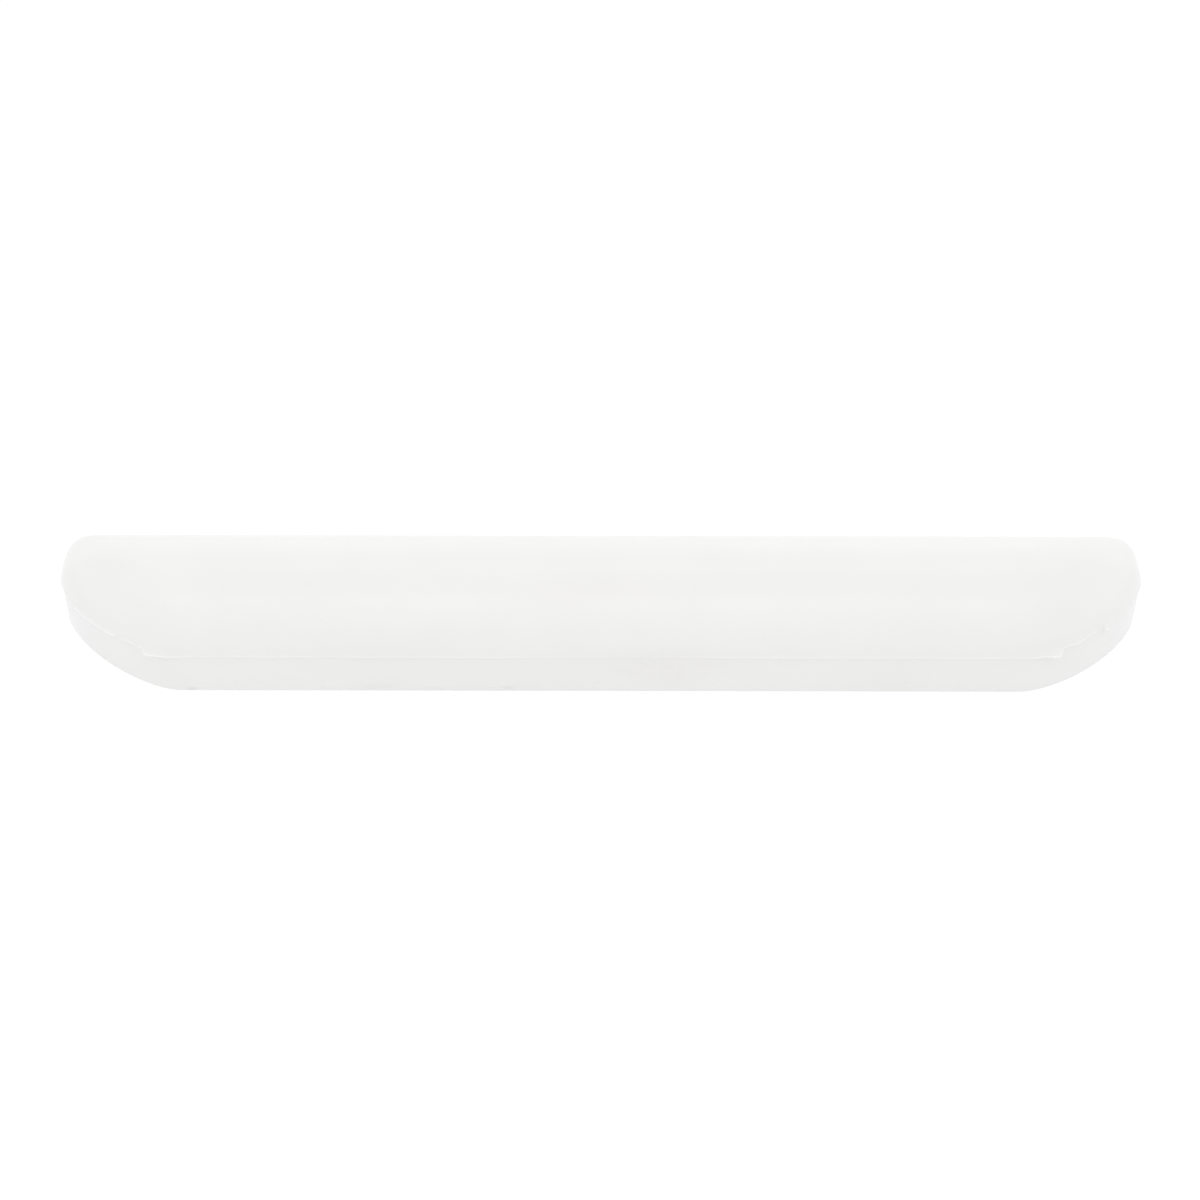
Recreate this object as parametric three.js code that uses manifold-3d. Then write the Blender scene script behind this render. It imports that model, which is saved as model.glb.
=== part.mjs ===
// Arm pad for a shower or commode chair: a white self-skinned foam moulding over a pressed
// steel carrier, with four tapped fixing bosses that end flush with the flat underside.
// Millimetres, +Z up, X along the pad. The origin is the centre of the underside.
// The long side with the rounded corners faces -Y, the straight long side faces +Y.

import * as THREE from 'three';
import { mergeVertices } from 'three/addons/utils/BufferGeometryUtils.js';
import Module from 'manifold-3d';

// Pad
const padLength = 355;
const padWidth = 55;
const padHeight = 32;
const partingHeight = 16;
const wallDraft = 1;
const undersideBevel = 0.6;
const roundedCorner = { alongX: 39, power: 1.45, steps: 15 };
// The small corner grows a little in X as the outline draws in up the crown.
const straightCorner = { alongX: 5, alongY: 16.6, power: 2, steps: 9, growth: 0.25 };
const crown = { inset: 25, power: 1.85, steps: 11 };

// Carrier: a shallow channel with turned-up lips
const channelLength = 300;
const channelWidth = 32;
const channelHeight = 8;
const channelBase = 9;
const sheet = 2;
const bendRadius = 3;
const channelCorner = 10;
const keyingHoleRadius = 4.5;
const keyingHolePlaces = [0, 26, 52, 103.5, 141];

// Fixing bosses: one inner and one outer pair
const innerSpacing = 160;
const outerSpacing = 254;
const bossRadius = 7;
const bossBevel = 0.5;
const spigotRadius = 4.7;
const threadRadius = 2.5;
const threadMouth = 0.8;

// Caps that keep foam out of the threads
const capRadius = 6.7;
const capHeight = 7;
const capWall = 1;
const capBrim = { radius: 8, thickness: 0.8 };

// Room between an embedded piece and the foam around it
const gap = 0.3;
const turnedSides = 44;
const arcSteps = 5;

const wasm = await Module();
wasm.setup();

// ---------------------------------------------------------------- materials

const foamSkin = new THREE.MeshStandardMaterial({ color: 0xf2f2ef, roughness: 0.55 });
const zincSheet = new THREE.MeshStandardMaterial({
  color: 0xb9bcc0,
  roughness: 0.4,
  metalness: 0.9,
});
const zincTurned = new THREE.MeshStandardMaterial({
  color: 0xc6c8ca,
  roughness: 0.3,
  metalness: 0.95,
});
const naturalPlastic = new THREE.MeshStandardMaterial({ color: 0xe4e2d8, roughness: 0.5 });

// ------------------------------------------------------------------- solids

// A closed mesh with merged corners becomes a solid for cutting and joining.
function toSolid(geometry) {
  const bare = geometry.clone();
  bare.deleteAttribute('normal');
  bare.deleteAttribute('uv');
  const merged = mergeVertices(bare, 1e-4);
  const mesh = new wasm.Mesh({
    numProp: 3,
    vertProperties: new Float32Array(merged.attributes.position.array),
    triVerts: new Uint32Array(merged.index.array),
  });
  return new wasm.Manifold(mesh);
}

function toGeometry(solid) {
  const mesh = solid.getMesh();
  const geometry = new THREE.BufferGeometry();
  geometry.setAttribute('position', new THREE.BufferAttribute(mesh.vertProperties, 3));
  geometry.setIndex(new THREE.BufferAttribute(mesh.triVerts, 1));
  geometry.computeVertexNormals();
  return geometry;
}

// Turns an outline of [radius, height] points about the Z axis. The outline either starts
// and ends on the axis or ends where it starts.
function turned(outline) {
  const points = outline.map(([radius, height]) => new THREE.Vector2(radius, height));
  const geometry = new THREE.LatheGeometry(points, turnedSides);
  geometry.rotateX(Math.PI / 2);
  return geometry;
}

function cylinder(radius, bottom, top) {
  const geometry = new THREE.CylinderGeometry(radius, radius, top - bottom, turnedSides);
  geometry.rotateX(Math.PI / 2);
  geometry.translate(0, 0, (bottom + top) / 2);
  return geometry;
}

function mirrored(places) {
  const both = places.flatMap((x) => (x === 0 ? [0] : [-x, x]));
  return both.sort((a, b) => a - b);
}

// -------------------------------------------------------------- pad moulding

// A point on one quarter of a superellipse: on its X end at turn 0, on its Y end at 90 degrees.
function cornerPoint(alongX, alongY, power, turn) {
  const x = alongX * Math.cos(turn) ** (2 / power);
  const y = alongY * Math.sin(turn) ** (2 / power);
  return [x, y];
}

// The pad's plan outline, drawn in by an inset. It runs anticlockwise, and always has the
// same number of points, so that outlines at two heights can be joined point to point. The
// rounded corner and the straight side's corner meet at the pad's tip, its furthest point in X.
function planOutline(inset) {
  const halfLength = padLength / 2 - inset;
  const halfWidth = padWidth / 2 - inset;
  const narrowing = halfWidth / (padWidth / 2);
  const farX = straightCorner.alongX + straightCorner.growth * inset;
  const farY = straightCorner.alongY * narrowing;
  const nearX = roundedCorner.alongX - inset;
  const nearY = 2 * halfWidth - farY;
  const tipY = halfWidth - farY;

  const right = [];
  for (let i = 0; i <= roundedCorner.steps; i += 1) {
    const turn = (Math.PI / 2) * (1 - i / roundedCorner.steps);
    const [x, y] = cornerPoint(nearX, nearY, roundedCorner.power, turn);
    right.push([halfLength - nearX + x, tipY - y]);
  }
  for (let i = 1; i <= straightCorner.steps; i += 1) {
    const turn = (Math.PI / 2) * (i / straightCorner.steps);
    const [x, y] = cornerPoint(farX, farY, straightCorner.power, turn);
    right.push([halfLength - farX + x, tipY + y]);
  }
  const left = right.map(([x, y]) => [-x, y]).reverse();
  return right.concat(left);
}

// Heights and insets of the outlines that make the pad: underside, drafted wall, crown.
function padLevels() {
  const levels = [
    { inset: wallDraft + undersideBevel, height: 0 },
    { inset: wallDraft, height: undersideBevel },
    { inset: 0, height: partingHeight },
  ];
  const rise = padHeight - partingHeight;
  for (let i = 1; i <= crown.steps; i += 1) {
    const turn = (Math.PI / 2) * (i / crown.steps);
    levels.push({
      inset: crown.inset * (1 - Math.cos(turn) ** (2 / crown.power)),
      height: partingHeight + rise * Math.sin(turn) ** (2 / crown.power),
    });
  }
  return levels;
}

// Joins outlines of equal point count into a closed body, with flat ends.
function loft(levels) {
  const rings = levels.map(({ inset }) => planOutline(inset));
  const count = rings[0].length;
  const positions = [];
  rings.forEach((ring, level) => {
    ring.forEach(([x, y]) => positions.push(x, y, levels[level].height));
  });
  const faces = [];
  for (let level = 0; level < rings.length - 1; level += 1) {
    for (let i = 0; i < count; i += 1) {
      const a = level * count + i;
      const b = level * count + ((i + 1) % count);
      faces.push(a, b, b + count, a, b + count, a + count);
    }
  }
  const top = (rings.length - 1) * count;
  for (let i = 0; i < count / 2 - 1; i += 1) {
    const j = count - 1 - i;
    faces.push(i, j, j - 1, i, j - 1, i + 1);
    faces.push(top + i, top + j - 1, top + j, top + i, top + i + 1, top + j - 1);
  }
  const geometry = new THREE.BufferGeometry();
  geometry.setAttribute('position', new THREE.Float32BufferAttribute(positions, 3));
  geometry.setIndex(faces);
  return geometry;
}

function bossRoom(x) {
  return toSolid(cylinder(bossRadius + gap, -1, channelBase + gap)).translate(x, 0, 0);
}

function capRoom(x) {
  const seat = channelBase + sheet;
  const brim = cylinder(capBrim.radius + gap, seat - gap, seat + capBrim.thickness + gap);
  const dome = cylinder(capRadius + gap, seat, seat + capHeight + gap);
  return toSolid(brim).add(toSolid(dome)).translate(x, 0, 0);
}

// The foam fills round the carrier and through its keying holes, so the hollow it leaves is
// the carrier, grown by the gap. The bosses' ends open that hollow to the underside.
function padMoulding() {
  let foam = toSolid(loft(padLevels()));
  foam = foam.subtract(carrierSolid(gap));
  bossPlaces().forEach((x) => {
    foam = foam.subtract(bossRoom(x));
    foam = foam.subtract(capRoom(x));
  });
  return toGeometry(foam);
}

// ------------------------------------------------------------------ carrier

// Section of the channel across the pad: a flat web with two turned-up lips.
function channelSection(grow) {
  const half = channelWidth / 2 + grow;
  const low = channelBase - grow;
  const high = channelBase + channelHeight + grow;
  const thick = sheet + 2 * grow;
  const outer = bendRadius + grow;
  const inner = Math.max(bendRadius - sheet - grow, 0.2);
  const shape = new THREE.Shape();
  shape.moveTo(-half + outer, low);
  shape.lineTo(half - outer, low);
  shape.absarc(half - outer, low + outer, outer, -Math.PI / 2, 0, false);
  shape.lineTo(half, high);
  shape.lineTo(half - thick, high);
  shape.lineTo(half - thick, low + thick + inner);
  shape.absarc(half - thick - inner, low + thick + inner, inner, 0, -Math.PI / 2, true);
  shape.lineTo(-half + thick + inner, low + thick);
  shape.absarc(-half + thick + inner, low + thick + inner, inner, -Math.PI / 2, -Math.PI, true);
  shape.lineTo(-half + thick, high);
  shape.lineTo(-half, high);
  shape.lineTo(-half, low + outer);
  shape.absarc(-half + outer, low + outer, outer, Math.PI, 1.5 * Math.PI, false);
  return shape;
}

// Plan of the channel: a long strip with rounded corners.
function channelPlan(grow) {
  const x = channelLength / 2 + grow;
  const y = channelWidth / 2 + grow;
  const r = channelCorner + grow;
  const shape = new THREE.Shape();
  shape.moveTo(-x + r, -y);
  shape.lineTo(x - r, -y);
  shape.absarc(x - r, -y + r, r, -Math.PI / 2, 0, false);
  shape.lineTo(x, y - r);
  shape.absarc(x - r, y - r, r, 0, Math.PI / 2, false);
  shape.lineTo(-x + r, y);
  shape.absarc(-x + r, y - r, r, Math.PI / 2, Math.PI, false);
  shape.lineTo(-x, -y + r);
  shape.absarc(-x + r, -y + r, r, Math.PI, 1.5 * Math.PI, false);
  return shape;
}

function carrierSolid(grow) {
  const length = channelLength + 4 * channelCorner;
  const straight = { depth: length, bevelEnabled: false, curveSegments: arcSteps };
  const bar = new THREE.ExtrudeGeometry(channelSection(grow), straight);
  bar.translate(0, 0, -length / 2);
  bar.rotateX(Math.PI / 2);
  bar.rotateZ(Math.PI / 2);

  const upright = { depth: padHeight, bevelEnabled: false, curveSegments: arcSteps };
  const plan = new THREE.ExtrudeGeometry(channelPlan(grow), upright);
  const solid = toSolid(bar).intersect(toSolid(plan));
  return punched(solid, mirrored(keyingHolePlaces), keyingHoleRadius - grow);
}

// Punches round holes through the web of the channel.
function punched(solid, places, radius) {
  let result = solid;
  places.forEach((x) => {
    const punch = cylinder(radius, channelBase - 1, channelBase + sheet + 1);
    result = result.subtract(toSolid(punch).translate(x, 0, 0));
  });
  return result;
}

function carrierChannel() {
  return toGeometry(punched(carrierSolid(0), bossPlaces(), spigotRadius + gap));
}

// --------------------------------------------------------- bosses and caps

function bossPlaces() {
  return mirrored([innerSpacing / 2, outerSpacing / 2]);
}

// A turned boss: a wide foot down to the underside and a spigot up through the channel.
function fixingBoss() {
  const shoulder = channelBase;
  const end = channelBase + sheet;
  return turned([
    [threadRadius, threadMouth],
    [threadRadius + threadMouth, 0],
    [bossRadius - bossBevel, 0],
    [bossRadius, bossBevel],
    [bossRadius, shoulder],
    [spigotRadius, shoulder],
    [spigotRadius, end],
    [threadRadius, end],
    [threadRadius, threadMouth],
  ]);
}

// A thin cup, open downwards, with a brim that sits on the channel.
function bossCap() {
  const seat = channelBase + sheet;
  const top = seat + capHeight;
  return turned([
    [0, top - capWall],
    [capRadius - capWall, top - capWall],
    [capRadius - capWall, seat],
    [capBrim.radius, seat],
    [capBrim.radius, seat + capBrim.thickness],
    [capRadius, seat + capBrim.thickness],
    [capRadius, top - capWall / 2],
    [capRadius - capWall / 2, top],
    [0, top],
  ]);
}

// ----------------------------------------------------------------- assembly

function addPiece(group, name, geometry, material, x = 0) {
  const mesh = new THREE.Mesh(geometry, material);
  mesh.name = name;
  mesh.position.x = x;
  group.add(mesh);
}

const armPad = new THREE.Group();
addPiece(armPad, 'pad_moulding', padMoulding(), foamSkin);
addPiece(armPad, 'carrier_channel', carrierChannel(), zincSheet);
bossPlaces().forEach((x, index) => {
  addPiece(armPad, `fixing_boss_${index + 1}`, fixingBoss(), zincTurned, x);
  addPiece(armPad, `boss_cap_${index + 1}`, bossCap(), naturalPlastic, x);
});

export default armPad;
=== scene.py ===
import math

import bmesh
import bpy
import numpy as np
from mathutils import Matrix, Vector


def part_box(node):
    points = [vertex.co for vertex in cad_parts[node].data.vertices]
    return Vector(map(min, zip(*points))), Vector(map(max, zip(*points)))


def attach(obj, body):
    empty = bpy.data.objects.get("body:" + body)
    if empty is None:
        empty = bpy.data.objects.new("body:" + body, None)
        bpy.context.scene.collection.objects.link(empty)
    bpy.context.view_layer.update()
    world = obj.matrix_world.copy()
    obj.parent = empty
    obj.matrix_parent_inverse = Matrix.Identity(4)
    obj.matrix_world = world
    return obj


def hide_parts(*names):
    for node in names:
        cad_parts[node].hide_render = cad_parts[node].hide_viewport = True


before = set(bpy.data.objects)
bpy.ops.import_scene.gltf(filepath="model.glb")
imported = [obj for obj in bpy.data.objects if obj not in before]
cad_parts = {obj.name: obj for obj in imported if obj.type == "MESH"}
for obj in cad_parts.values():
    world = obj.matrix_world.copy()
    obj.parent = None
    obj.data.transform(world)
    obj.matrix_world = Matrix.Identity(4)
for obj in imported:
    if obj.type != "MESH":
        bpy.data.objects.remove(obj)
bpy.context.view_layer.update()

# The looks of a self-skinned foam arm pad. The frame is in metres: X runs along the pad, the
# long side with the rounded corners faces -Y, and the flat underside is at height zero.

MM = 0.001
QUARTER = math.pi / 2.0

# The pad's shape, with its overall size taken from the frame. The corners are parts of
# superellipses. The far corners grow a little in X as the outline draws in up the crown, and
# OUTLINE_BLEND is how far the outline's curves run into each other.
PAD_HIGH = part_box("pad_moulding")[1]
HALF_LENGTH = PAD_HIGH.x
HALF_WIDTH = PAD_HIGH.y
HEIGHT = PAD_HIGH.z
PARTING = HEIGHT / 2.0
WALL_DRAFT = 1.0 * MM
BASE_RADIUS = 0.65 * MM
RIGHT_CORNER = {"along_x": 41.4 * MM, "power": 1.495, "far_power": 2.9}
LEFT_CORNER = {"along_x": 40.6 * MM, "power": 1.45, "far_power": 2.7}
FAR_CORNER = {"along_x": 5.0 * MM, "along_y": 16.6 * MM}
FAR_CORNER_GROWTH = 0.25
CROWN_INSET = 25.0 * MM
CROWN_POWER = 1.85
OUTLINE_BLEND = 1.5 * MM

# How finely the outline and the skin's levels are divided, and the steepest fold that is
# still shaded smooth.
NEAR_CORNER_STEPS = 310
FAR_CORNER_STEPS = 64
STRAIGHT_STEPS = 186
BASE_LEVELS = 6
WALL_LEVELS = 9
CROWN_LEVELS = 34
SHARP_ANGLE = math.radians(38.0)

# The parting line: how thick the lip of flash is, how far it stands out along the straight
# sides, and how high the skin above and below it flares out to meet it. Where more than
# LONG_FLASH is left, the skin above bulges by as much as the flash is longer, and the bulge
# grows along the line by no more than BULGE_SLOPE. The wall below is set in by MOULD_MISMATCH.
FLASH_THICKNESS = 0.24 * MM
HALF_LIP = FLASH_THICKNESS / 2.0
FLASH_HEIGHT = 0.30 * MM
LEAST_FLASH = 0.03 * MM
FLARE_ABOVE = 0.30 * MM
FLARE_ABOVE_SHARE = 0.92
FLARE_BELOW = 0.07 * MM
FLARE_BELOW_SHARE = 0.8
LONG_FLASH = 0.60 * MM
BULGE_SLOPE = 0.35
FLASH_DROOP = 0.30
MOULD_MISMATCH = 0.08 * MM

# How far above and below the parting line the skin follows it up and down.
LIFT_SPREAD = 2.2 * MM

# The flash is painted paler where it is thin, a painted light that stands for light showing
# through
# it: from LIP_FROM of its reach outwards, and fully so where it is at least FULL_LIP long.
# Painted shade darkens the skin under flash that is longer than UNDER_FLASH_SHADE_FROM, within
# UNDER_FLASH_SHADE_DEPTH of the lip, and reaches its full strength UNDER_FLASH_SHADE_RANGE
# further out.
LIP_FROM = 0.7
FULL_LIP = 0.5 * MM
UNDER_FLASH_SHADE_DEPTH = 0.45 * MM
UNDER_FLASH_SHADE_FROM = 0.25 * MM
UNDER_FLASH_SHADE_RANGE = 0.75 * MM

# Levels of the skin near the lip. WALL_TOP and CROWN_START are where the even levels of the wall
# end and those of the crown start. The others are distances from the lip in millimetres, and the
# lip's own section: height in half thicknesses from its middle, and share of its reach.
WALL_TOP = PARTING - 1.6 * MM
CROWN_START = HALF_LIP + 1.4 * MM
LEVELS_BELOW = (1.1, 0.75, 0.5, 0.32, 0.2, 0.11, 0.04)
LEVELS_ABOVE = (0.05, 0.12, 0.2, 0.3, 0.42, 0.58, 0.8, 1.1)
LIP_SECTION = ((-1.0, 0.90), (-0.6, 1.0), (0.0, 1.03), (0.6, 1.02), (1.0, 0.96))

# Unevenness along the parting line: amount, seed, and wavelength in millimetres. The first three
# are shares of the flash's reach, and the last is a height.
TRIM_WAVER = (0.30, 11, 45.0)
RAGGED_SIDE = (0.16, 12, 3.0)
RAGGED_CORNER = (0.14, 21, 1.6)
SEAM_WANDER = (0.05 * MM, 31, 30.0)

# That unevenness is octaves of a few sine waves, each octave shorter and weaker than the last.
# NOISE_PEAK is about how high the waves of one octave reach together.
NOISE_OCTAVES = 4
NOISE_WAVES = 3
OCTAVE_SHORTER = 1.9
OCTAVE_WEAKER = 0.6
WAVE_STRETCH = (0.7, 1.4)
NOISE_PEAK = 1.7

# Places along the near side, in millimetres from the middle, where the flash was trimmed
# badly: each is (place, how far the flash stands out, how far its line has been pulled up).
# They count only in front of NEAR_SIDE.
NEAR_SIDE = 0.6 * HALF_WIDTH
TORN_LEFT = [
    (-176.0, 0.30, 0.0),
    (-173.5, 0.60, -0.4),
    (-172.0, 0.55, -0.5),
    (-171.2, 0.15, -0.3),
    (-170.6, 0.95, 0.0),
    (-168.0, 1.00, -0.1),
    (-165.0, 0.85, 0.0),
    (-162.6, 0.90, 0.1),
    (-160.4, 0.70, 0.0),
    (-159.2, 0.95, 0.3),
    (-156.9, 0.75, 0.4),
    (-155.6, 0.08, 0.4),
    (-154.6, 0.10, 0.5),
    (-154.0, 0.55, 0.6),
    (-149.6, 0.50, 0.9),
    (-148.4, 0.45, 0.4),
    (-147.3, 0.50, 0.1),
    (-146.5, 1.20, -0.1),
    (-145.7, 1.85, -0.2),
    (-144.4, 1.60, -0.1),
    (-142.8, 1.40, -0.1),
    (-140.5, 0.90, -0.2),
    (-138.0, 0.55, -0.2),
    (-134.0, 0.35, 0.0),
]
TORN_RIGHT = [
    (137.0, 0.35, 0.0),
    (140.3, 0.70, 0.0),
    (142.3, 0.95, 0.0),
    (143.9, 1.60, 0.0),
    (145.4, 2.20, 0.0),
    (146.4, 2.20, 0.0),
    (147.1, 1.60, 0.2),
    (147.9, 0.80, 0.5),
    (148.6, 0.45, 0.8),
    (149.6, 0.35, 0.8),
    (151.6, 0.60, 0.7),
    (152.8, 0.80, 0.5),
    (154.2, 0.75, 0.5),
    (155.2, 0.60, 0.8),
    (156.4, 0.60, 1.2),
    (159.6, 0.60, 1.2),
    (160.4, 0.06, 0.6),
    (162.1, 0.06, 0.2),
    (162.6, 1.40, 0.2),
    (163.4, 1.55, -0.1),
    (163.9, 0.08, 0.0),
    (167.2, 0.06, 0.0),
    (168.6, 0.35, 0.0),
    (170.4, 0.40, -0.2),
    (172.0, 0.20, 0.0),
    (176.0, 0.25, 0.0),
]
TORN_PLACE, TORN_REACH, TORN_LIFT = np.transpose(TORN_LEFT + TORN_RIGHT)

# Where the straight line of flash was rubbed almost flush: place in millimetres, and the share
# of the flash that is left.
RUBBED_FLASH = [(-16.0, 1.0), (-9.0, 0.35), (2.0, 0.2), (22.0, 0.2), (30.0, 0.5), (38.0, 1.0)]

# Edges closer than LEVEL_TOLERANCE to a height lie at it. A distance below HAIR is nothing.
LEVEL_TOLERANCE = 1e-5
HAIR = 1e-6

# How far beyond the embedded pieces the CAD's foam can still be the wall of their hollow.
HOLLOW_MARGIN = 1.0 * MM


# ------------------------------------------------------------------ numbers


def wave_noise(x, amount, seed, wavelength):
    """Smooth repeatable noise of about -amount to amount, from sines of mixed phase."""
    random = np.random.default_rng(seed)
    total = np.zeros_like(x)
    weight = 0.0
    for octave in range(NOISE_OCTAVES):
        length = wavelength / (OCTAVE_SHORTER**octave)
        share = OCTAVE_WEAKER**octave
        for _ in range(NOISE_WAVES):
            stretch = random.uniform(*WAVE_STRETCH)
            phase = random.uniform(0.0, 2.0 * math.pi)
            total += share * np.sin(2.0 * math.pi * x / (length * stretch) + phase)
        weight += share * NOISE_PEAK
    return amount * (total / weight)


# ------------------------------------------------------------- pad outline


def corner_arc(along_x, along_y, power, turns):
    """Points of a quarter superellipse round the origin: on X at turn 0, on Y at a quarter."""
    exponent = 2.0 / power
    x = along_x * np.abs(np.cos(turns)) ** exponent
    y = along_y * np.sin(turns) ** exponent
    return np.column_stack([x, y])


def half_outline(inset, corner):
    """The right half of the plan outline, from the middle of the near side to the far side."""
    half_length = HALF_LENGTH - inset
    half_width = HALF_WIDTH - inset
    far_x = FAR_CORNER["along_x"] + FAR_CORNER_GROWTH * inset
    far_y = FAR_CORNER["along_y"] * half_width / HALF_WIDTH
    near_x = corner["along_x"] - inset
    near_y = 2.0 * half_width - far_y
    tip_y = half_width - far_y

    turns = np.linspace(0.0, QUARTER, NEAR_CORNER_STEPS + 1)[::-1]
    near_corner = corner_arc(near_x, near_y, corner["power"], turns) * [1.0, -1.0]
    near_corner += [half_length - near_x, tip_y]
    turns = np.linspace(0.0, QUARTER, FAR_CORNER_STEPS + 1)
    far_corner = corner_arc(far_x, far_y, corner["far_power"], turns)
    far_corner += [half_length - far_x, tip_y]

    share = np.linspace(0.0, 1.0, STRAIGHT_STEPS + 1)
    near_edge = np.column_stack(
        [share * (half_length - near_x), np.full_like(share, -half_width)]
    )
    far_edge = np.column_stack(
        [share[::-1] * (half_length - far_x), np.full_like(share, half_width)]
    )
    return np.vstack([near_edge, near_corner[1:], far_corner[1:], far_edge[1:]])


def joined_outline(inset):
    """The outline at an inset, anticlockwise, with the same point count each time."""
    right = half_outline(inset, RIGHT_CORNER)
    left = half_outline(inset, LEFT_CORNER)[1:-1][::-1] * [-1.0, 1.0]
    return np.vstack([right, left])


def blend_weights(ring):
    """Weights that average a closed outline over a short run to each side of every point."""
    step = np.linalg.norm(np.roll(ring, -1, axis=0) - ring, axis=1)
    place = np.concatenate([[0.0], np.cumsum(step)[:-1]])
    apart = np.abs(place[:, None] - place[None, :])
    apart = np.minimum(apart, step.sum() - apart)
    share = step + np.roll(step, 1)
    weights = np.exp(-0.5 * (apart / OUTLINE_BLEND) ** 2) * share
    return weights / weights.sum(axis=1, keepdims=True)


BLEND = blend_weights(joined_outline(0.0))


def plan_outline(inset):
    """The plan outline at an inset, with its curves run softly into each other."""
    return BLEND @ joined_outline(inset)


def outward(ring):
    """Unit vectors that point out of a closed plan outline, one for each point."""
    along = np.roll(ring, -1, axis=0) - np.roll(ring, 1, axis=0)
    length = np.linalg.norm(along, axis=1, keepdims=True)
    return np.column_stack([along[:, 1], -along[:, 0]]) / length


def run_length(ring):
    """Distance round the outline to each point, from the first."""
    step = np.linalg.norm(np.diff(ring, axis=0), axis=1)
    return np.concatenate([[0.0], np.cumsum(step)])


# ----------------------------------------------------------- flash profile


def flash_reach(ring):
    """How far the flash stands out at each point of the parting line, and how ragged it is."""
    x, y = ring[:, 0] / MM, ring[:, 1]
    near = y < NEAR_SIDE
    s = run_length(ring) / MM
    rubbed = np.where(near, np.interp(x, *np.transpose(RUBBED_FLASH)), 1.0)
    trimmed = FLASH_HEIGHT * (1.0 + wave_noise(s, *TRIM_WAVER)) * rubbed
    torn = np.interp(x, TORN_PLACE, TORN_REACH) * MM
    at_corner = near & ((x < TORN_LEFT[-1][0]) | (x > TORN_RIGHT[0][0]))
    ragged = np.where(at_corner, wave_noise(s, *RAGGED_CORNER), wave_noise(s, *RAGGED_SIDE))
    return np.maximum(np.where(at_corner, torn, trimmed), LEAST_FLASH), ragged


def seam_lift(ring):
    """How far the parting line strays up or down, at each point of it."""
    x, y = ring[:, 0] / MM, ring[:, 1]
    pulled = np.interp(x, TORN_PLACE, TORN_LIFT) * MM
    return np.where(y < NEAR_SIDE, pulled, 0.0) + wave_noise(run_length(ring) / MM, *SEAM_WANDER)


def bulge_heights(ring, reach):
    """How much higher the skin flares above long flash, at each point of the parting line."""
    longer = np.maximum(reach - LONG_FLASH, 0.0)
    s = run_length(ring)
    return np.min(longer[None, :] + BULGE_SLOPE * np.abs(s[:, None] - s[None, :]), axis=1)


def flare_share(height, bulge):
    """The share of the flash's reach that the skin keeps at a height above the lip."""
    return FLARE_ABOVE_SHARE * np.exp(-(height - PARTING - HALF_LIP) / (FLARE_ABOVE + bulge))


# ---------------------------------------------------------------- pad mesh


def wall_lean(height):
    """How far the drafted wall stands in from the parting line at a height."""
    return WALL_DRAFT * (1.0 - height / PARTING)


def profile():
    """Levels of the outer skin from the underside up: height, inset, and share of flash.

    The share is None above the lip, where it depends on how long the flash is.
    """
    levels = []
    for turn in np.linspace(0.0, QUARTER, BASE_LEVELS):
        height = BASE_RADIUS * (1.0 - math.cos(turn))
        levels.append((height, wall_lean(height) + BASE_RADIUS * (1.0 - math.sin(turn)), 0.0))
    for height in np.linspace(BASE_RADIUS, WALL_TOP, WALL_LEVELS)[1:]:
        levels.append((height, wall_lean(height), 0.0))
    for below in LEVELS_BELOW:
        height = PARTING - HALF_LIP - below * MM
        share = FLARE_BELOW_SHARE * math.exp(-below * MM / FLARE_BELOW)
        levels.append((height, wall_lean(height) + MOULD_MISMATCH, share))
    for place, share in LIP_SECTION:
        levels.append((PARTING + place * HALF_LIP, 0.0, share))

    rise = HEIGHT - PARTING
    heights = [HALF_LIP + gap * MM for gap in LEVELS_ABOVE]
    turns = np.linspace(0.0, QUARTER, CROWN_LEVELS)
    heights += [h for h in rise * np.sin(turns) ** (2.0 / CROWN_POWER) if h > CROWN_START]
    for height in heights:
        fall = (1.0 - min(height / rise, 1.0) ** CROWN_POWER) ** (1.0 / CROWN_POWER)
        levels.append((PARTING + height, CROWN_INSET * (1.0 - fall), None))
    return levels


def skin_points():
    """Rings of points from the underside's edge to the top, each with the share of its flash
    painted paler as painted light, and its painted shade under the flash.
    """
    seam = plan_outline(0.0)
    reach, ragged = flash_reach(seam)
    bulge = bulge_heights(seam, reach)
    lift = seam_lift(seam)
    out = outward(seam)
    rings = []
    for height, inset, share in profile():
        if share is None:
            share = flare_share(height, bulge)
        stand = share * reach * (1.0 + ragged * share**2)
        ring = plan_outline(inset) + out * stand[:, None]
        near_seam = math.exp(-(((height - PARTING) / LIFT_SPREAD) ** 2))
        z = height + lift * near_seam - FLASH_DROOP * stand

        # Painted light: where the flash is thin it is painted paler, for light that shows through
        # it.
        lip = np.maximum(share - LIP_FROM, 0.0) / (1.0 - LIP_FROM)
        lip = lip * np.minimum(reach / FULL_LIP, 1.0)
        # Painted shade: the skin just under the lip of long flash is darkened where its shadow
        # falls.
        gap = PARTING - HALF_LIP - height
        depth = math.exp(-((gap / UNDER_FLASH_SHADE_DEPTH) ** 2)) if gap >= -HAIR else 0.0
        under_flash_shade = depth * np.clip((reach - UNDER_FLASH_SHADE_FROM) / UNDER_FLASH_SHADE_RANGE, 0.0, 1.0)
        rings.append((np.column_stack([ring, z]), lip, under_flash_shade))
    return rings


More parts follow.
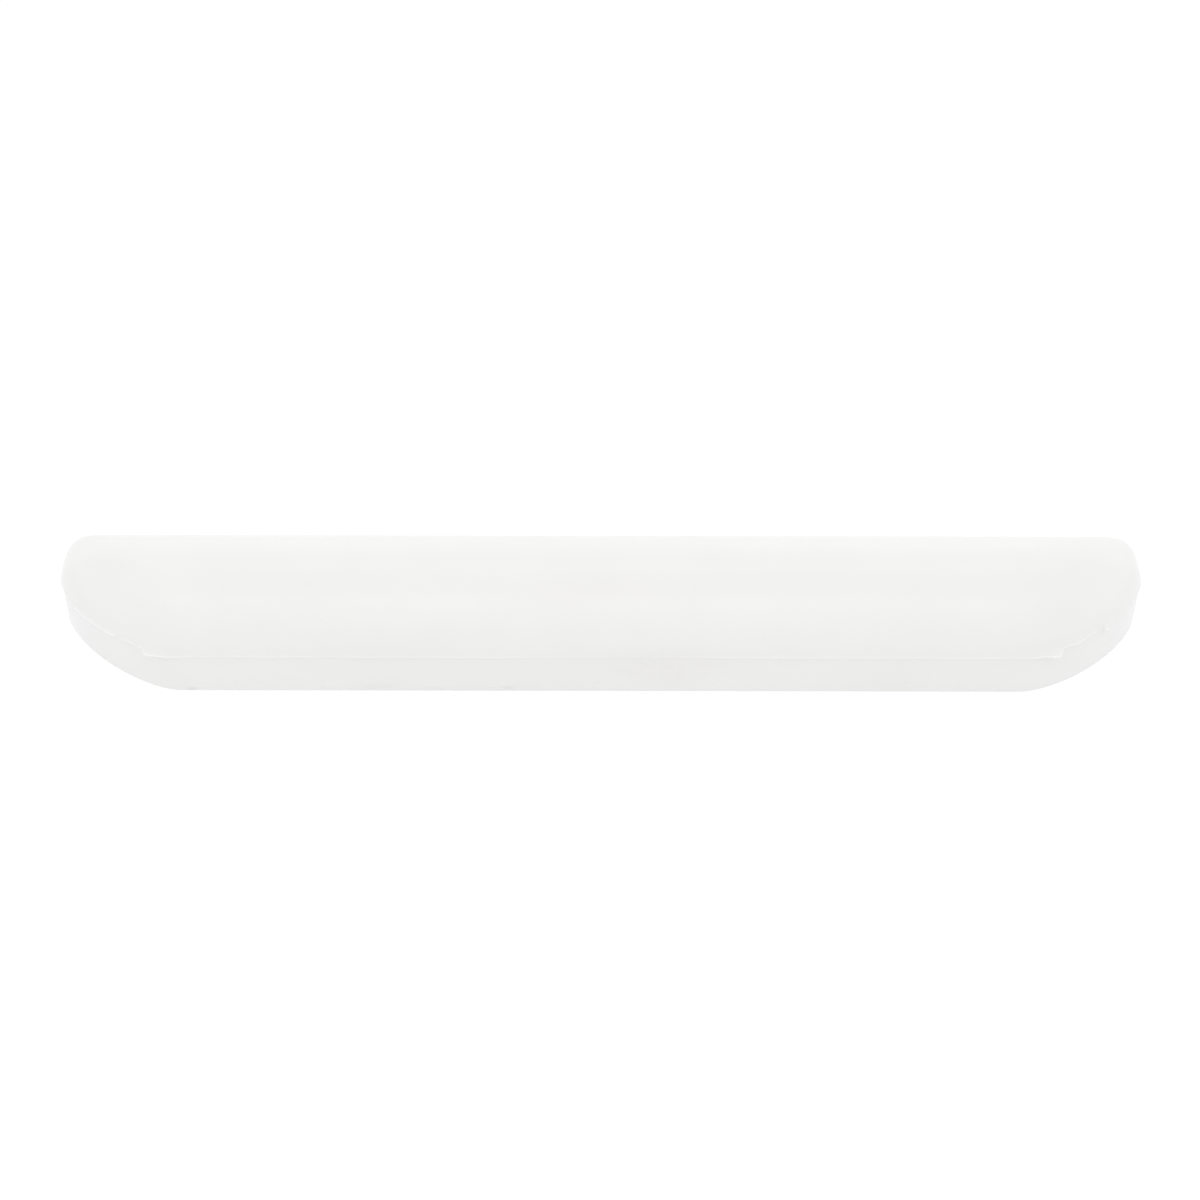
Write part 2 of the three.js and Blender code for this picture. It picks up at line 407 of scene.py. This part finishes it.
def loft_skin(bm):
    """Adds the outer skin to bm and returns the height of its top edge."""
    # The flash layer holds the share of painted light on thin flash, and the other the painted
    # shade under the flash.
    thin = bm.verts.layers.float.new("flash")
    painted_shade_source = bm.verts.layers.float.new("under_flash_shade")
    rings = []
    for points, lip, under_flash_shade in skin_points():
        verts = [bm.verts.new(point) for point in points]
        for vert, lip_share, under_flash_shade_share in zip(verts, lip, under_flash_shade):
            vert[thin] = lip_share
            vert[painted_shade_source] = under_flash_shade_share
        rings.append(verts)
    count = len(rings[0])
    for lower, upper in zip(rings, rings[1:]):
        for i in range(count):
            j = (i + 1) % count
            bm.faces.new((lower[i], lower[j], upper[j], upper[i]))
    return rings[-1][0].co.z


def copy_hollow(bm, node):
    """Copies the hollow that the foam leaves round the carrier from the CAD node."""
    source = bmesh.new()
    source.from_mesh(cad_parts[node].data)
    bmesh.ops.remove_doubles(source, verts=source.verts, dist=HAIR)
    carrier_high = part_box("carrier_channel")[1]
    cap_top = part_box("boss_cap_1")[1].z
    made = {}
    for face in source.faces:
        middle = face.calc_center_median()
        inside = (
            abs(middle.x) < carrier_high.x + HOLLOW_MARGIN
            and abs(middle.y) < carrier_high.y + HOLLOW_MARGIN
            and HAIR < middle.z < cap_top + HOLLOW_MARGIN
        )
        if not inside:
            continue
        corners = []
        for vert in face.verts:
            if vert.index not in made:
                made[vert.index] = bm.verts.new(vert.co)
            corners.append(made[vert.index])
        bm.faces.new(corners)
    source.free()


def fill_level(bm, height):
    """Closes the mesh with triangles between its open edges at a height."""
    edges = [
        edge
        for edge in bm.edges
        if edge.is_boundary and all(abs(v.co.z - height) < LEVEL_TOLERANCE for v in edge.verts)
    ]
    bmesh.ops.triangle_fill(bm, use_beauty=True, edges=edges)


def place_mesh(name, bm):
    """Turns bm into an object in the scene."""
    mesh = bpy.data.meshes.new(name)
    bm.to_mesh(mesh)
    bm.free()
    thing = bpy.data.objects.new(name, mesh)
    bpy.context.scene.collection.objects.link(thing)
    return thing


def build_pad():
    bm = bmesh.new()
    top = loft_skin(bm)
    copy_hollow(bm, "pad_moulding")
    bm.normal_update()
    fill_level(bm, 0.0)
    fill_level(bm, top)
    bmesh.ops.recalc_face_normals(bm, faces=bm.faces)
    pad = place_mesh("arm_pad_foam", bm)
    # The underside stays flat, as its long triangles would show in smooth shading.
    smooth = [face.center.z > HAIR for face in pad.data.polygons]
    pad.data.polygons.foreach_set("use_smooth", smooth)
    pad.data.set_sharp_from_angle(angle=SHARP_ANGLE)
    return pad


# ------------------------------------------------------------ shader nodes


class Nodes:
    """A short way to add and join the shader nodes of a material or of the world."""

    def __init__(self, owner, output="ShaderNodeOutputMaterial"):
        owner.use_nodes = True
        self.tree = owner.node_tree
        self.tree.nodes.clear()
        self.output = self.add(output)

    def add(self, kind, **settings):
        node = self.tree.nodes.new(kind)
        for name, value in settings.items():
            setattr(node, name, value)
        return node

    def put(self, value, target):
        """Joins an output to an input, or sets the input to a number or a colour."""
        if isinstance(value, bpy.types.NodeSocket):
            self.tree.links.new(value, target)
        elif isinstance(value, tuple):
            target.default_value = (*value, 1.0)
        else:
            target.default_value = value

    def node(self, kind, **inputs):
        """A node with its inputs set by name, with a space for each underscore."""
        node = self.add(kind)
        for name, value in inputs.items():
            self.put(value, node.inputs[name.replace("_", " ")])
        return node

    def surface(self, shader):
        self.put(shader, self.output.inputs["Surface"])

    def position(self):
        return self.add("ShaderNodeTexCoord").outputs["Object"]

    def noise(self, scale, detail=3.0, roughness=0.5):
        node = self.node(
            "ShaderNodeTexNoise",
            Scale=scale,
            Detail=detail,
            Roughness=roughness,
            Vector=self.position(),
        )
        return node.outputs["Fac"]

    def spread(self, value, low, high, out_low, out_high, curve="LINEAR"):
        """Stretches the range from low to high over the range from out_low to out_high."""
        node = self.add("ShaderNodeMapRange", interpolation_type=curve)
        self.put(value, node.inputs["Value"])
        names = ("From Min", "From Max", "To Min", "To Max")
        for name, limit in zip(names, (low, high, out_low, out_high)):
            node.inputs[name].default_value = limit
        return node.outputs["Result"]

    def mottle(self, scale, band, out, detail=3.0):
        """Noise, with a band of its range stretched over the range out."""
        return self.spread(self.noise(scale, detail), *band, *out)

    def product(self, first, second):
        node = self.add("ShaderNodeMath", operation="MULTIPLY")
        self.put(first, node.inputs[0])
        self.put(second, node.inputs[1])
        return node.outputs["Value"]

    def vector(self, operation, first, second=None):
        node = self.add("ShaderNodeVectorMath", operation=operation)
        self.put(first, node.inputs[0])
        if second is not None:
            node.inputs[1].default_value = second
        return node

    def tint(self, factor, first, second, blend="MIX"):
        """The first colour blended with the second, by a share."""
        node = self.add("ShaderNodeMix", data_type="RGBA", blend_type=blend)
        self.put(factor, node.inputs["Factor"])
        colours = [socket for socket in node.inputs if socket.type == "RGBA"]
        for colour, target in zip((first, second), colours):
            self.put(colour, target)
        return [socket for socket in node.outputs if socket.type == "RGBA"][0]

    def bump(self, height, distance, strength):
        node = self.node("ShaderNodeBump", Height=height, Distance=distance, Strength=strength)
        return node.outputs["Normal"]

    def diffuse(self, colour):
        return self.node("ShaderNodeBsdfDiffuse", Color=colour).outputs["BSDF"]

    def glow(self, kind, colour, strength):
        return self.node(kind, Color=colour, Strength=strength).outputs[0]

    def both(self, first, second):
        """The sum of two shaders."""
        node = self.add("ShaderNodeAddShader")
        self.put(first, node.inputs[0])
        self.put(second, node.inputs[1])
        return node.outputs[0]

    def either(self, factor, first, second):
        """The first shader where the factor is 0, and the second where it is 1."""
        node = self.node("ShaderNodeMixShader", Fac=factor)
        self.put(first, node.inputs[1])
        self.put(second, node.inputs[2])
        return node.outputs[0]

    def for_camera(self, lit, seen):
        """A shader that lights the pad as one thing, and that the camera sees as another."""
        ray = self.add("ShaderNodeLightPath")
        return self.either(ray.outputs["Is Camera Ray"], lit, seen)

    def spot(self, centre, size):
        """A soft-edged spot on the object, in millimetres: 1 at its centre, 0 beyond its size."""
        apart = self.vector("SUBTRACT", self.position(), [value * MM for value in centre])
        share = self.vector("DIVIDE", apart.outputs["Vector"], [value * MM for value in size])
        length = self.vector("LENGTH", share.outputs["Vector"]).outputs["Value"]
        return self.spread(length, 0.0, 1.0, 1.0, 0.0, "SMOOTHSTEP")


# --------------------------------------------------------------- materials

# The skin's two mottled colours, the painted light of thin flash, and the painted shade that the
# skin under the flash is multiplied by.
SKIN_DARK = (0.790, 0.790, 0.7735)
SKIN_LIGHT = (0.802, 0.800, 0.7835)
THIN_FLASH_PAINTED_LIGHT = (0.880, 0.877, 0.855)
UNDER_FLASH_PAINTED_SHADE = (0.77, 0.76, 0.74)
SKIN_ROUGHNESS = (0.31, 0.37)

# Zinc plate on sheet and on turned steel: colour and roughness. It is clouded by a darker
# colour, and its roughness varies to each side of its own.
SHEET_ZINC = ((0.62, 0.64, 0.66), 0.34)
TURNED_ZINC = ((0.68, 0.69, 0.70), 0.24)
ZINC_CLOUD = 0.86
ZINC_SMOOTHER = 0.06
ZINC_ROUGHER = 0.08

PLASTIC_COLOURS = ((0.78, 0.77, 0.71), (0.73, 0.72, 0.66))

# Bands of a noise texture's range: a narrow one gives clearer patches.
NARROW = (0.35, 0.65)
WIDE = (0.3, 0.7)
FULL = (0.0, 1.0)

# Faint marks of handling: centre and size in millimetres, the colour they multiply the skin by,
# and how patchy they are.
STAINS = [
    ((21.0, -27.5, 11.5), (34.0, 12.0, 12.5), (0.968, 0.960, 0.948), 0.6),
    ((-2.0, -12.0, 30.0), (44.0, 10.0, 9.0), (1.0, 0.990, 0.985), 0.6),
    ((92.0, -27.5, 5.0), (26.0, 9.0, 9.0), (0.992, 0.990, 0.978), 0.5),
    ((-132.0, -26.6, 1.0), (3.0, 2.5, 1.6), (0.91, 0.90, 0.90), 0.5),
    ((-72.0, -26.8, 2.4), (10.0, 2.0, 2.2), (0.965, 0.955, 0.95), 0.7),
    ((-53.0, -26.8, 1.6), (6.0, 2.0, 1.4), (0.965, 0.96, 0.955), 0.7),
    ((-29.8, -26.8, 1.8), (3.4, 2.0, 1.7), (0.94, 0.92, 0.915), 0.4),
]


def foam_skin():
    material = bpy.data.materials.new("foam_skin")
    n = Nodes(material)
    colour = n.tint(n.mottle(38.0, NARROW, FULL, detail=4.0), SKIN_DARK, SKIN_LIGHT)
    for centre, size, shade, patchy in STAINS:
        patches = n.mottle(260.0, NARROW, (1.0 - patchy, 1.0), detail=4.0)
        colour = n.tint(n.product(n.spot(centre, size), patches), colour, shade, "MULTIPLY")
    # Painted shade: the skin under the flash is darkened where its shadow falls.
    painted_shade_source = n.add("ShaderNodeAttribute", attribute_name="under_flash_shade")
    colour = n.tint(painted_shade_source.outputs["Fac"], colour, UNDER_FLASH_PAINTED_SHADE, "MULTIPLY")
    # Painted light: thin flash is painted paler, for light that shows through it.
    thin = n.add("ShaderNodeAttribute", attribute_name="flash")
    colour = n.tint(thin.outputs["Fac"], colour, THIN_FLASH_PAINTED_LIGHT)
    shader = n.node(
        "ShaderNodeBsdfPrincipled",
        Base_Color=colour,
        Roughness=n.mottle(120.0, WIDE, SKIN_ROUGHNESS),
        Normal=n.bump(n.noise(900.0, 4.0, 0.6), distance=0.05 * MM, strength=0.35),
        Sheen_Weight=0.25,
        Sheen_Roughness=0.3,
    )
    n.surface(shader.outputs["BSDF"])
    return material


def zinc(name, colour, roughness):
    material = bpy.data.materials.new(name)
    n = Nodes(material)
    cloud = n.mottle(220.0, NARROW, FULL, detail=5.0)
    darker = tuple(ZINC_CLOUD * value for value in colour)
    polish = (roughness - ZINC_SMOOTHER, roughness + ZINC_ROUGHER)
    shader = n.node(
        "ShaderNodeBsdfPrincipled",
        Base_Color=n.tint(cloud, colour, darker),
        Metallic=1.0,
        Roughness=n.mottle(500.0, WIDE, polish),
        Normal=n.bump(n.noise(1500.0), distance=0.02 * MM, strength=0.3),
    )
    n.surface(shader.outputs["BSDF"])
    return material


def natural_plastic():
    material = bpy.data.materials.new("natural_plastic")
    n = Nodes(material)
    colour = n.tint(n.mottle(300.0, WIDE, FULL), *PLASTIC_COLOURS)
    shader = n.node("ShaderNodeBsdfPrincipled", Base_Color=colour, Roughness=0.45)
    n.surface(shader.outputs["BSDF"])
    return material


def finish_cad_node(name, material):
    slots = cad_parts[name].data.materials
    slots.clear()
    slots.append(material)


# -------------------------------------------------------------------- stage

WHITE = (1.0, 1.0, 1.0)

# The paper and the tent are brighter behind and beside the pad than in front of it, which is
# what lights the pad's rims. Each level is a radiance, where 1 is the camera's white. The paper
# gives off PAPER_NEAR close to the middle. From PAPER_EDGE outwards, in metres, that fades to
# PAPER_FRONT before the pad and to PAPER_FAR behind it.
PAPER_ALBEDO = 0.40
PAPER_NEAR = 0.65
PAPER_FAR = 0.38
PAPER_FRONT = 0.35
PAPER_EDGE = (0.25, 0.60)
PAPER_DEPTH = (-0.45, 0.0)
PAPER_TINT = (0.963, 0.966, 1.0)
TENT_LEVEL = 1.012
TENT_HORIZON = 0.308
HORIZON_TINT = (0.93, 0.94, 1.0)
HORIZON_HEIGHT = (0.15, 0.60)
HORIZON_DEPTH = (-0.7, -0.1)

# What the camera sees instead: a burnt-out floor that can still take a trace of shadow, and a
# white tent.
SEEN_PAPER = 0.93
SEEN_PAPER_ALBEDO = 0.10
SEEN_TENT = 1.02

FLOOR_HALF_SIZE = 6.0
FLOOR_HEIGHT = -0.05 * MM


def paper_level(n):
    """The radiance that the paper gives off by itself, by place."""
    place = n.add("ShaderNodeNewGeometry").outputs["Position"]
    apart = n.vector("LENGTH", place).outputs["Value"]
    far = n.spread(apart, *PAPER_EDGE, 0.0, 1.0)
    split = n.add("ShaderNodeSeparateXYZ")
    n.put(place, split.inputs[0])
    back = n.spread(split.outputs["Y"], *PAPER_DEPTH, PAPER_FRONT, PAPER_FAR)
    mix = n.node("ShaderNodeMix", Factor=far, A=PAPER_NEAR, B=back)
    return mix.outputs["Result"]


def floor():
    """White paper: the camera sees it burnt out, and the pad sees it as a bright reflector."""
    material = bpy.data.materials.new("pale_floor")
    n = Nodes(material)
    emission = "ShaderNodeEmission"
    seen = n.both(n.glow(emission, WHITE, SEEN_PAPER), n.diffuse((SEEN_PAPER_ALBEDO,) * 3))
    lit = n.both(n.diffuse((PAPER_ALBEDO,) * 3), n.glow(emission, PAPER_TINT, paper_level(n)))
    clear = n.add("ShaderNodeBsdfTransparent").outputs["BSDF"]
    below = n.add("ShaderNodeNewGeometry").outputs["Backfacing"]
    n.surface(n.either(below, n.for_camera(lit, seen), clear))

    bm = bmesh.new()
    corners = ((-1.0, -1.0), (1.0, -1.0), (1.0, 1.0), (-1.0, 1.0))
    bm.faces.new(
        [
            bm.verts.new((x * FLOOR_HALF_SIZE, y * FLOOR_HALF_SIZE, FLOOR_HEIGHT))
            for x, y in corners
        ]
    )
    plane = place_mesh("floor", bm)
    plane.data.materials.append(material)


def light_tent():
    """An even tent with a brighter band low down behind and beside; the camera sees white."""
    sky = bpy.data.worlds.new("light_tent")
    bpy.context.scene.world = sky
    n = Nodes(sky, "ShaderNodeOutputWorld")
    split = n.add("ShaderNodeSeparateXYZ")
    n.put(n.add("ShaderNodeTexCoord").outputs["Generated"], split.inputs[0])
    low_band = n.spread(split.outputs["Z"], *HORIZON_HEIGHT, 1.0, 0.0, "SMOOTHSTEP")
    behind = n.spread(split.outputs["Y"], *HORIZON_DEPTH, 0.0, 1.0, "SMOOTHSTEP")
    band = n.product(n.product(low_band, behind), TENT_HORIZON)
    kind = "ShaderNodeBackground"
    lit = n.both(n.glow(kind, WHITE, TENT_LEVEL), n.glow(kind, HORIZON_TINT, band))
    n.surface(n.for_camera(lit, n.glow(kind, WHITE, SEEN_TENT)))


# Softboxes that face the middle of the pad: place and size in metres, and power in watts.
SOFTBOXES = {
    "overhead_softbox": ((0.0, 0.0, 2.2), (1.6, 0.4), 2.9),
    "front_softbox": ((0.0, -0.8, 2.0), (1.6, 0.6), 1.22),
}


def softbox(name, place, size, power):
    data = bpy.data.lights.new(name, "AREA")
    data.shape = "RECTANGLE"
    data.size, data.size_y = size
    data.energy = power
    light = bpy.data.objects.new(name, data)
    bpy.context.scene.collection.objects.link(light)
    light.location = place
    light.rotation_euler = Vector(place).to_track_quat("Z", "Y").to_euler()
    light.visible_camera = False


# The photo's viewpoint. Lens and sensor are in millimetres, and the rest is in metres.
CAMERA_LENS = 100.0
SENSOR_WIDTH = 36.0
CAMERA_DISTANCE = 1.0877
CAMERA_NEAREST = 0.01
CAMERA_FURTHEST = 50.0
VIEW_ELEVATION = math.radians(40.93)
VIEW_AZIMUTH = math.radians(-0.155)
VIEW_ROLL = math.radians(0.218)
VIEW_AIM = Vector((-0.37 * MM, 0.0, 16.3 * MM))


def camera():
    data = bpy.data.cameras.new("camera")
    data.lens = CAMERA_LENS
    data.sensor_width = SENSOR_WIDTH
    data.clip_start = CAMERA_NEAREST
    data.clip_end = CAMERA_FURTHEST
    view = bpy.data.objects.new("camera", data)
    bpy.context.scene.collection.objects.link(view)
    level = math.cos(VIEW_ELEVATION)
    back = Vector(
        (
            math.sin(VIEW_AZIMUTH) * level,
            -math.cos(VIEW_AZIMUTH) * level,
            math.sin(VIEW_ELEVATION),
        )
    )
    view.location = VIEW_AIM + back * CAMERA_DISTANCE
    view.rotation_euler = (-back).to_track_quat("-Z", "Y").to_euler()
    view.rotation_euler.rotate_axis("Z", VIEW_ROLL)
    bpy.context.scene.camera = view


# -------------------------------------------------------------------- build

pad = build_pad()
pad.data.materials.append(foam_skin())
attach(pad, "root")
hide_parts("pad_moulding")

sheet = zinc("zinc_sheet", *SHEET_ZINC)
turned = zinc("zinc_turned", *TURNED_ZINC)
plastic = natural_plastic()
finish_cad_node("carrier_channel", sheet)
for number in (1, 2, 3, 4):
    finish_cad_node(f"fixing_boss_{number}", turned)
    finish_cad_node(f"boss_cap_{number}", plastic)

floor()
light_tent()
for name, (place, size, power) in SOFTBOXES.items():
    softbox(name, place, size, power)
camera()
bpy.context.scene.view_settings.view_transform = "Standard"
